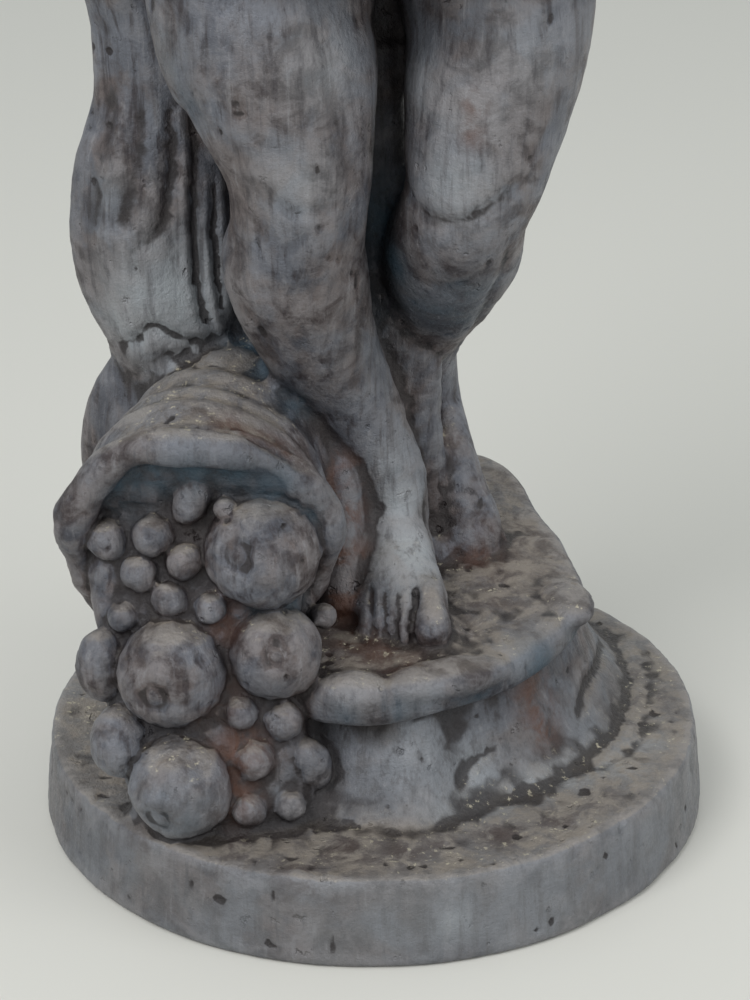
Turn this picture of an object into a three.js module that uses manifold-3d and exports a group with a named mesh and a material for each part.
// Cast iron garden statue: a harvest figure in a short tunic and mantle stands on a rock slab
// beside a horn of plenty whose fruit spills onto a round plinth. The whole work is one casting,
// so it is one closed solid. Millimetres, +Z up, the figure faces -Y, and the origin is the centre
// of the plinth's underside.
import * as THREE from "three";
import { mergeVertices } from "three/addons/utils/BufferGeometryUtils.js";
import Module from "manifold-3d";

const wasm = await Module();
wasm.setup();

// ---------------------------------------------------------------- driving dimensions
const PLINTH = { radius: 180, across: 0.967, height: 44, draft: 6, edge: 4, sides: 36, seat: 5 };
const SLAB = { height: 124, rise: 0.1, thickness: 14, lip: 4, undercut: 12, sides: 30 };
const MOUND = { foot: 42, waist: 64, top: 112, inset: 18, topInset: 38, sides: 26 };
const HEM = { height: 446, folds: 11, depth: 0.075 };
const MANTLE = { pleats: 3.5, depth: 5 };
const HORN = { mouth: [-78, -74, 176], droop: 16, lipRadius: 60, lipThickness: 8.5, rings: 5, growth: 0.07 };
const HEAD = { centre: [5, -8, 820], turn: 12, nod: 6 };
const BUST = { waist: 594, beltHeight: 15 };
const FRUIT = { dimple: 0.2, nub: 0.09 };
const TOE = { length: 21, big: 0.8, small: 0.56, taper: 0.6, arch: 1.5 };
const FINGER = { radius: 5.2, spacing: 10.6, taper: 0.6 };
const HAIR = { waves: 7, depth: 0.03 };
const WREATH = { leaves: 8, swell: 0.3, radius: 44, thickness: 7, height: 32 };
const SEAM = 1e-3; // vertices this close are one
const SLIVER = 1.5; // shortest edge that the joins may leave
const STEADY = 0.9; // least agreement of a facet with itself after an edge is drawn in

const X = new THREE.Vector3(1, 0, 0);
const Y = new THREE.Vector3(0, 1, 0);
const CASTING = { color: 0x54525a, metalness: 0.6, roughness: 0.62 };

// ---------------------------------------------------------------- making and joining solids
function vector(point) {
  return new THREE.Vector3(...point);
}

function radians(degrees) {
  return THREE.MathUtils.degToRad(degrees);
}

// Moves each vertex of a closed geometry to where place() says.
function reshape(geometry, place) {
  const position = geometry.getAttribute("position");
  const vertex = new THREE.Vector3();
  for (let i = 0; i < position.count; i++) {
    const moved = place(vertex.fromBufferAttribute(position, i));
    position.setXYZ(i, moved.x, moved.y, moved.z);
  }
  return geometry;
}

// A closed geometry as a solid whose faces point outwards.
function solid(geometry) {
  geometry.deleteAttribute("normal");
  geometry.deleteAttribute("uv");
  const merged = mergeVertices(geometry, SEAM);
  const corners = new Uint32Array(merged.index.array);
  const make = () =>
    new wasm.Manifold(
      new wasm.Mesh({
        numProp: 3,
        vertProperties: merged.attributes.position.array,
        triVerts: corners,
      }),
    );
  const made = make();
  if (made.volume() > 0) return made;
  corners.reverse();
  return make();
}

function join(solids) {
  return solids.reduce((whole, piece) => whole.add(piece));
}

// A closed form swept through stations of [x, y, z, half width, half depth]. The width lies
// along `across` and the depth squares with it. section() scales the radius round the form, and
// pleat() adds depth across it.
function limb(stations, { sides = 10, rows = 6, across = X, section = () => 1, pleat = () => 0 } = {}) {
  const spine = new THREE.CatmullRomCurve3(
    stations.map(([x, y, z]) => new THREE.Vector3(x, y, z)),
    false,
    "catmullrom",
  );
  const girth = new THREE.CatmullRomCurve3(
    stations.map(([, , , wide, deep = wide]) => new THREE.Vector3(wide, deep, 0)),
    false,
    "catmullrom",
  );
  const place = (p) => {
    const along = 0.5 - p.y;
    const size = girth.getPoint(along);
    const forward = spine.getTangent(along);
    const side = across.clone().addScaledVector(forward, -across.dot(forward)).normalize();
    const front = new THREE.Vector3().crossVectors(forward, side);
    const scale = section(Math.atan2(p.x, p.z), along);
    return spine
      .getPoint(along)
      .addScaledVector(side, p.x * size.x * scale)
      .addScaledVector(front, p.z * (size.y * scale + pleat(p.x, along)));
  };
  return solid(reshape(new THREE.CylinderGeometry(1, 1, 1, sides, rows), place));
}

function blob(centre, radii, { turn = [0, 0, 0], sides = 8, rows = 5 } = {}) {
  const form = new THREE.SphereGeometry(1, sides, rows).scale(...radii);
  form.applyQuaternion(new THREE.Quaternion().setFromEuler(new THREE.Euler(...turn.map(radians))));
  return solid(form.translate(...centre));
}

// Vertical folds: ridges round the form that deepen from one end to the other.
function folds(count, depth, from = 0) {
  return (angle, along) => 1 + depth * (from + (1 - from) * along) * Math.cos(count * angle);
}

// A lump of rock between two plan outlines: levels of [height, inset], with the top following a slope.
function rock(outline, levels, { sides, slope = 0 }) {
  const edge = new THREE.CatmullRomCurve3(
    outline.map(([x, y]) => new THREE.Vector3(x, y, 0)),
    true,
    "catmullrom",
  );
  const middle = outline
    .reduce((sum, [x, y]) => sum.add(new THREE.Vector3(x, y, 0)), new THREE.Vector3())
    .divideScalar(outline.length);
  const steps = levels.length - 1;
  const place = (p) => {
    const [height, inset] = levels[Math.round((p.y + 0.5) * steps)];
    const reach = Math.hypot(p.x, p.z);
    const turn = (Math.atan2(p.x, p.z) / (2 * Math.PI) + 1) % 1;
    const rim = reach > 0.5 ? edge.getPoint(turn) : middle.clone();
    const inward = middle.clone().sub(rim);
    rim.addScaledVector(inward, reach > 0.5 ? inset / inward.length() : 0);
    return rim.setZ(height + slope * rim.y);
  };
  return solid(reshape(new THREE.CylinderGeometry(1, 1, 1, sides, steps), place));
}

// A round fruit with a dimple and a blossom nub facing `toward`.
function apple(centre, radius, toward) {
  const profile = [[0, -1]];
  for (const angle of [-48, -8, 30]) {
    profile.push([Math.cos(radians(angle)), Math.sin(radians(angle))]);
  }
  profile.push([0.55, 0.84], [FRUIT.dimple, 0.86], [FRUIT.nub, 0.96], [0, 0.98]);
  const points = profile.map(([reach, up]) => new THREE.Vector2(reach * radius, up * radius));
  const form = new THREE.LatheGeometry(points, 9);
  form.applyQuaternion(new THREE.Quaternion().setFromUnitVectors(Y, vector(toward).normalize()));
  return solid(form.translate(...centre));
}

// ---------------------------------------------------------------- plinth, mound and slab
function plinth() {
  const { radius, across, height, draft, edge, sides, seat } = PLINTH;
  const profile = [
    [0, 0],
    [radius - edge / 2, 0],
    [radius, edge],
    [radius - draft + edge / 2, height - edge],
    [radius - draft - edge / 2, height],
    [0, height],
  ].map(([reach, up]) => new THREE.Vector2(reach, up));
  const disc = new THREE.LatheGeometry(profile, sides).rotateX(Math.PI / 2);
  return solid(disc.scale(across, 1, 1).translate(seat, 0, 0));
}

function mound() {
  const { foot, waist, top, inset, topInset, sides } = MOUND;
  const outline = [
    [16, -132],
    [56, -112],
    [102, -80],
    [136, -30],
    [145, 40],
    [118, 108],
    [40, 146],
    [-50, 136],
    [-112, 88],
    [-134, 18],
    [-122, -50],
    [-66, -102],
  ];
  const levels = [
    [foot, 0],
    [waist, inset],
    [top, topInset],
  ];
  return rock(outline, levels, { sides });
}

function slab() {
  const { height, rise, thickness, lip, undercut, sides } = SLAB;
  const outline = [
    [-10, -117],
    [52, -101],
    [90, -72],
    [114, -28],
    [110, 20],
    [98, 62],
    [78, 122],
    [10, 148],
    [-60, 132],
    [-106, 70],
    [-110, 0],
    [-76, -70],
  ];
  const levels = [
    [height - thickness - lip, undercut],
    [height - thickness, lip / 2],
    [height - lip, 0],
    [height, lip],
  ];
  return rock(outline, levels, { sides, slope: rise });
}

// ---------------------------------------------------------------- legs and feet
function standingLeg() {
  const stations = [
    [-42, -2, 492, 58],
    [-41, -30, 420, 52, 50],
    [-33, -39, 390, 46],
    [-26, -45, 352, 35, 39],
    [-27, -43, 325, 32, 35],
    [-29, -34, 300, 35, 37],
    [-21, -24, 266, 30, 32],
    [-8, -15, 236, 24, 25],
    [7, -8, 202, 19.5, 20.5],
    [16, -6, 176, 18, 19.5],
    [17, -3, 148, 18, 24],
    [15, -2, 122, 17, 24],
  ];
  return join([
    limb(stations, { sides: 10, rows: 10 }),
    blob([-24, -72, 336], [19, 12, 20], { turn: [8, 0, 0] }),
  ]);
}

function trailingLeg() {
  const stations = [
    [58, 4, 492, 54, 58],
    [68, -18, 418, 45, 48],
    [63, -28, 380, 40, 44],
    [57, -36, 348, 34, 38],
    [52, -32, 328, 30, 36],
    [47, -13, 302, 33.5, 33],
    [42, 14, 270, 26, 26],
    [39, 42, 238, 15, 18],
    [40, 60, 212, 12.5, 16],
    [43, 66, 190, 12, 16],
  ];
  return join([
    limb(stations, { sides: 10, rows: 9 }),
    blob([54, -66, 336], [18, 11, 19], { turn: [10, 0, 0] }),
  ]);
}

// Toes in a row from the big one to the little one, each reaching forward of the ball of the foot.
function toes(bigToe, littleToe, reach) {
  const row = [];
  const spacing = vector(bigToe).distanceTo(vector(littleToe)) / 4;
  for (let i = 0; i < 5; i++) {
    const base = vector(bigToe).lerp(vector(littleToe), i / 4);
    const radius = spacing * (i === 0 ? TOE.big : TOE.small - 0.02 * i);
    const length = TOE.length * (i === 1 ? 1.05 : 1 - 0.1 * i);
    const tip = base.clone().addScaledVector(vector(reach), length);
    const knuckle = base.clone().lerp(tip, 0.6).setZ(base.z + TOE.arch);
    const stations = [
      [base.x, base.y, base.z, radius * 0.9],
      [knuckle.x, knuckle.y, knuckle.z, radius],
      [tip.x, tip.y, tip.z, radius * TOE.taper],
    ];
    row.push(limb(stations, { sides: 5, rows: 2 }));
  }
  return join(row);
}

function frontFoot() {
  const stations = [
    [10, 25, 134, 10, 9],
    [13, 14, 138, 17, 17],
    [16, -6, 146, 18.5, 25],
    [19, -30, 136, 20, 19],
    [22, -50, 127, 22.5, 11.5],
    [24, -62, 122, 20, 8],
  ];
  return join([
    limb(stations),
    toes([38, -56, 123], [1, -42, 124], [0.14, -0.99, -0.18]),
  ]);
}

function rearFoot() {
  const stations = [
    [41, 82, 204, 8, 7],
    [42, 74, 196, 12, 13],
    [45, 58, 180, 13, 18],
    [51, 42, 158, 15, 13.5],
    [57, 30, 140, 16, 11],
    [59, 22, 131, 15, 8],
  ];
  return join([
    limb(stations),
    toes([49, 24, 131], [70, 36, 131], [0.12, -0.92, -0.25]),
  ]);
}

// ---------------------------------------------------------------- horn of plenty and its fruit
function horn() {
  const [x, y, z] = HORN.mouth;
  const stations = [
    [x, y - 2, z - 1, 64, 63],
    [-76, -52, 183, 59],
    [-70, -28, 189, 54],
    [-60, 0, 199, 49],
    [-44, 30, 214, 41],
    [-22, 56, 238, 32],
    [6, 78, 266, 22],
    [30, 88, 298, 14],
    [42, 84, 330, 5],
  ];
  const growth = (angle, along) => 1 + HORN.growth * ((HORN.rings * along) % 1);
  const body = limb(stations, { sides: 12, rows: 2 * HORN.rings, section: growth });
  const facing = new THREE.Quaternion().setFromAxisAngle(X, radians(90 + HORN.droop));
  const lip = new THREE.TorusGeometry(HORN.lipRadius, HORN.lipThickness, 5, 16);
  return body.add(solid(lip.applyQuaternion(facing).translate(x, y, z)));
}

// The bed of small stuff that the fruit lies in, from the horn's mouth down to the plinth.
function fruitBed() {
  const stations = [
    [-78, -58, 214, 30, 10],
    [-78, -66, 196, 48, 16],
    [-79, -74, 165, 54, 19],
    [-80, -84, 130, 50, 22],
    [-76, -96, 92, 48, 22],
    [-70, -106, 58, 46, 22],
    [-68, -108, 40, 46, 22],
  ];
  return limb(stations, { sides: 12, rows: 6 });
}

function fruit() {
  const apples = [
    [[-48, -82, 173], 27.5, [-0.42, -0.85, 0.3]],
    [[-92, -102, 119], 25.5, [-0.3, -0.95, -0.1]],
    [[-42, -98, 127], 21.5, [0.05, -0.9, 0.45]],
    [[-88, -122, 68], 24, [-0.4, -0.8, -0.3]],
  ];
  const oblong = [
    [[-82, -74, 195], [9, 9, 14], [0, 24, 0]],
    [[-122, -94, 123], [15, 15, 20], [0, 0, 0]],
    [[-115, -108, 86], [16, 16, 20], [0, 0, 0]],
    [[-26, -116, 74], [9, 9, 13], [0, -30, 0]],
  ];
  const berries = [
    [-100, -79, 180, 9.5],
    [-121, -80, 177, 9],
    [-107, -85, 164, 8.2],
    [-85, -84, 168, 8.2],
    [-92, -91, 151, 7.7],
    [-72, -92, 147, 7.2],
    [-28, -88, 146, 5.8],
    [-20, -88, 140, 6.4],
    [-116, -92, 145, 6.7],
    [-60, -110, 99, 7.7],
    [-39, -111, 96, 9.4],
    [-53, -117, 78, 9.4],
    [-56, -125, 57, 7.7],
    [-36, -125, 57, 7.2],
  ];
  return join([
    ...apples.map(([centre, radius, toward]) => apple(centre, radius, toward)),
    ...oblong.map(([centre, radii, turn]) => blob(centre, radii, { turn })),
    ...berries.map(([x, y, z, radius]) => blob([x, y, z], [radius, radius, radius], { sides: 6, rows: 4 })),
  ]);
}

// ---------------------------------------------------------------- mantle and tunic
// The mantle's gathered end hangs from the lowered hand, swells, and reaches the rock behind the horn.
function swag() {
  const stations = [
    [-110, 0, 486, 15],
    [-104, 14, 448, 26, 22],
    [-93, 24, 408, 32, 27],
    [-92, 26, 368, 34, 28],
    [-97, 25, 326, 41, 31],
    [-97, 24, 290, 43, 32],
    [-91, 24, 250, 36, 28],
    [-92, 34, 224, 34, 26],
    [-106, 42, 184, 38, 26],
    [-108, 44, 120, 36, 26],
    [-104, 44, 60, 34, 26],
  ];
  return limb(stations, { sides: 21, rows: 7, section: folds(7, 0.06, 1) });
}

// The mantle's back falls from the shoulders and stands on the slab behind the legs, as their support.
function mantleBack() {
  const stations = [
    [8, 30, 742, 62, 14],
    [8, 40, 716, 86, 18],
    [6, 44, 660, 86, 19],
    [4, 42, 600, 78, 20],
    [0, 54, 545, 94, 22],
    [-6, 64, 480, 106, 24],
    [-14, 62, 410, 90, 26],
    [-18, 56, 340, 64, 28],
    [-12, 58, 270, 50, 30],
    [-6, 64, 200, 45, 32],
    [-6, 70, 112, 52, 34],
  ];
  const wave = (x, along) => Math.cos(MANTLE.pleats * Math.PI * x + 2 * along);
  const pleat = (x, along) => MANTLE.depth * (0.3 + along) * wave(x, along);
  return limb(stations, { sides: 26, rows: 6, pleat });
}

function sash() {
  const stations = [
    [66, 34, 736, 9, 18],
    [64, -8, 746, 9, 24],
    [36, -44, 710, 9, 27],
    [-12, -52, 660, 10, 28],
    [-52, -47, 610, 11, 27],
    [-86, -36, 560, 13, 24],
    [-108, -16, 512, 15, 18],
    [-111, -4, 484, 14, 14],
  ];
  return limb(stations, { sides: 10, rows: 6, across: Y, section: folds(5, 0.1, 1) });
}

function skirt() {
  const stations = [
    [6, 2, BUST.waist + 6, 57, 41],
    [8, 1, 572, 72, 50],
    [9, 0, 540, 90, 61],
    [10, -4, 505, 104, 71],
    [11, -8, 472, 114, 79],
    [11, -10, HEM.height, 119, 83],
  ];
  return limb(stations, { sides: 4 * HEM.folds, rows: 4, section: folds(HEM.folds, HEM.depth) });
}

function bodice() {
  const stations = [
    [6, 6, 762, 22, 20],
    [6, 6, 748, 34, 26],
    [6, 4, 730, 70, 34],
    [6, 3, 708, 84, 41],
    [5, -2, 684, 78, 45],
    [5, -5, 652, 71, 47],
    [5, -2, 622, 68, 47],
    [6, 0, 606, 67, 47],
    [6, 1, BUST.waist, 57, 41],
  ];
  const belt = new THREE.CylinderGeometry(1, 1, BUST.beltHeight, 18, 1).rotateX(Math.PI / 2);
  return join([
    limb(stations, { sides: 16, rows: 5 }),
    blob([-27, -36, 678], [25, 22, 25]),
    blob([37, -36, 678], [25, 22, 25]),
    solid(belt.scale(62, 46, 1).translate(6, 1, BUST.waist)),
  ]);
}

// ---------------------------------------------------------------- arms and hands
function loweredArm() {
  return join([
    limb([[-60, 6, 728, 20], [-88, 10, 708, 29], [-113, 15, 660, 30]], { rows: 3 }),
    limb(
      [
        [-104, 13, 684, 22],
        [-118, 17, 648, 24],
        [-131, 20, 606, 20],
        [-131, 12, 578, 22],
        [-126, 3, 544, 18],
        [-117, -5, 500, 13, 12],
      ],
      { sides: 9, rows: 6 },
    ),
    blob([-114, -6, 494], [13, 15, 19]),
  ]);
}

function raisedArm() {
  return join([
    limb([[70, 6, 728, 20], [97, 10, 708, 29], [121, 16, 660, 30]], { rows: 3 }),
    limb([[112, 14, 684, 22], [126, 17, 644, 24], [137, 14, 606, 20]], { rows: 3 }),
    limb([[137, 18, 612, 20], [124, -14, 618, 21], [100, -46, 636, 18], [72, -68, 658, 12.5]], { rows: 4 }),
    blob([68, -74, 668], [13, 14, 22], { turn: [0, 29, 0] }),
  ]);
}

// Four fingers side by side, each bent through the same three steps, and spaced by `step`.
function fingers(bend, step) {
  const row = [];
  for (let i = 0; i < 4; i++) {
    const offset = vector(step).multiplyScalar(i * FINGER.spacing);
    const stations = bend.map(([x, y, z], joint) => [
      x + offset.x,
      y + offset.y,
      z + offset.z,
      FINGER.radius - FINGER.taper * joint,
    ]);
    row.push(limb(stations, { sides: 5, rows: 2 }));
  }
  return join(row);
}

function hands() {
  return join([
    fingers([[-126, -4, 500], [-128, -20, 494], [-116, -28, 492], [-104, -26, 494]], [0.1, 0, -1]),
    limb([[-106, -8, 508, 6], [-98, -20, 500, 6], [-98, -28, 488, 5]], { sides: 5, rows: 2 }),
    fingers([[60, -82, 656], [50, -98, 658], [38, -102, 668], [32, -96, 678]], [0.45, -0.05, 0.8]),
    limb([[56, -64, 672, 6], [44, -66, 686, 6], [38, -76, 692, 5]], { sides: 5, rows: 2 }),
    apple([47, -84, 678], 19, [-0.2, -0.6, 0.8]),
  ]);
}

// ---------------------------------------------------------------- neck and head
// An egg-shaped head: broad at the skull, narrowing to the jaw.
function faceForm() {
  const egg = (p) => {
    const low = Math.max(0, -p.y);
    return p.set(p.x * (41 - 6 * low), 2 - p.z * (46 - 14 * low) - 18 * low * low, 4 + 50 * p.y);
  };
  return solid(reshape(new THREE.SphereGeometry(1, 12, 8), egg));
}

function headForms() {
  const nose = [
    [0, -38, 12, 4],
    [0, -44, -3, 4.5],
    [0, -50, -14, 7, 5],
    [0, -38, -19, 6, 4],
  ];
  const features = [
    faceForm(),
    blob([0, -37, 12], [27, 8, 5], { sides: 7, rows: 4 }),
    blob([0, -38, -28], [11, 6, 4], { sides: 6, rows: 4 }),
    limb(nose, { sides: 6, rows: 3 }),
  ];
  for (const side of [-1, 1]) {
    features.push(blob([side * 16, -36, 1], [8.5, 6, 5], { sides: 6, rows: 4 }));
    const lock = [
      [side * 4, -36, 46, 9],
      [side * 30, -28, 26, 12],
      [side * 42, 2, 4, 14],
      [side * 30, 36, 2, 13],
      [side * 8, 50, 4, 10],
    ];
    features.push(limb(lock, { sides: 6, rows: 4, across: Y }));
  }
  return features;
}

function hairAndWreath() {
  const wave = (p) => HAIR.depth * Math.hypot(p.x, p.z) * Math.cos(HAIR.waves * Math.atan2(p.x, p.z));
  const ripple = (p) => p.multiplyScalar(1 + wave(p));
  const cap = reshape(new THREE.SphereGeometry(1, 14, 6), ripple).scale(46, 52, 46).rotateX(radians(-24));
  const leafy = (p) => {
    const swell = 1 + WREATH.swell * Math.cos(WREATH.leaves * Math.atan2(p.y, p.x));
    const radius = Math.hypot(p.x, p.y);
    const middle = new THREE.Vector3(p.x, p.y, 0).multiplyScalar(WREATH.radius / radius);
    return p.sub(middle).multiplyScalar(swell).add(middle);
  };
  const ring = new THREE.TorusGeometry(WREATH.radius, WREATH.thickness, 5, 2 * WREATH.leaves);
  reshape(ring, leafy).scale(1, 1.14, 1).rotateX(radians(-12));
  return [
    solid(cap.translate(0, 9, 18)),
    solid(ring.translate(0, 7, WREATH.height)),
    blob([0, 60, 4], [19, 15, 18], { sides: 9 }),
  ];
}

function head() {
  const turned = [HEAD.nod, 0, HEAD.turn];
  const whole = join([...headForms(), ...hairAndWreath()]).rotate(turned).translate(HEAD.centre);
  return whole.add(limb([[5, 8, 740, 28], [5, 4, 764, 25], [5, 2, 792, 26]], { rows: 2 }));
}

// ---------------------------------------------------------------- the casting
function statue() {
  return join([
    plinth(),
    mound(),
    slab(),
    swag(),
    mantleBack(),
    horn(),
    standingLeg(),
    trailingLeg(),
    frontFoot(),
    rearFoot(),
    fruitBed(),
    fruit(),
    skirt(),
    bodice(),
    sash(),
    loweredArm(),
    raisedArm(),
    hands(),
    head(),
  ]);
}

// The one outer body, with the small hollows that joined forms close off inside it filled.
function filled(whole) {
  const bodies = whole.decompose().filter((body) => body.volume() > 0);
  if (bodies.length !== 1) throw new Error("the casting is in " + bodies.length + " parts");
  return bodies[0];
}

function geometryOf(whole) {
  const { vertProperties, triVerts } = whole.getMesh();
  const geometry = new THREE.BufferGeometry();
  geometry.setAttribute("position", new THREE.BufferAttribute(vertProperties, 3));
  return geometry.setIndex(new THREE.BufferAttribute(triVerts, 1));
}

// Draws in the edges shorter than SLIVER that the joins leave, wherever the surface stays closed
// and no facet turns over.
function withoutSlivers(whole) {
  const { vertProperties, triVerts } = whole.getMesh();
  const points = [];
  for (let i = 0; i < vertProperties.length; i += 3) points.push(vector(vertProperties.slice(i, i + 3)));
  const facets = [];
  for (let i = 0; i < triVerts.length; i += 3) facets.push([...triVerts.slice(i, i + 3)]);
  const around = points.map(() => new Set());
  facets.forEach((facet, index) => facet.forEach((corner) => around[corner].add(index)));

  const neighbours = (corner) => {
    const ring = new Set([...around[corner]].flatMap((index) => facets[index]));
    ring.delete(corner);
    return ring;
  };
  const facing = (facet) => {
    const [a, b, c] = facet.map((corner) => points[corner]);
    return b.clone().sub(a).cross(c.clone().sub(a)).normalize();
  };
  const drawIn = (kept, gone) => {
    const shared = [...neighbours(kept)].filter((corner) => neighbours(gone).has(corner));
    if (shared.length !== 2) return;
    const moved = [...around[gone]].filter((index) => !facets[index].includes(kept));
    const redrawn = moved.map((index) => facets[index].map((corner) => (corner === gone ? kept : corner)));
    if (moved.some((index, i) => facing(facets[index]).dot(facing(redrawn[i])) < STEADY)) return;
    for (const index of [...around[gone]].filter((each) => facets[each].includes(kept))) {
      facets[index].forEach((corner) => around[corner].delete(index));
      facets[index] = [];
    }
    moved.forEach((index, i) => {
      facets[index] = redrawn[i];
      around[kept].add(index);
    });
    around[gone].clear();
  };
  for (const index of facets.keys()) {
    for (const side of [0, 1, 2]) {
      const [a, b] = [facets[index][side], facets[index][(side + 1) % 3]];
      if (facets[index].length && points[a].distanceTo(points[b]) < SLIVER) drawIn(a, b);
    }
  }
  const geometry = new THREE.BufferGeometry().setFromPoints(points).setIndex(facets.flat());
  return solid(geometry);
}

function meshOf(name, whole) {
  const geometry = geometryOf(whole);
  geometry.computeVertexNormals();
  const mesh = new THREE.Mesh(geometry, new THREE.MeshStandardMaterial(CASTING));
  mesh.name = name;
  return mesh;
}

const group = new THREE.Group();
const casting = filled(withoutSlivers(filled(statue())));
group.add(meshOf("statue", casting.translate([-PLINTH.seat, 0, 0])));

export default group;
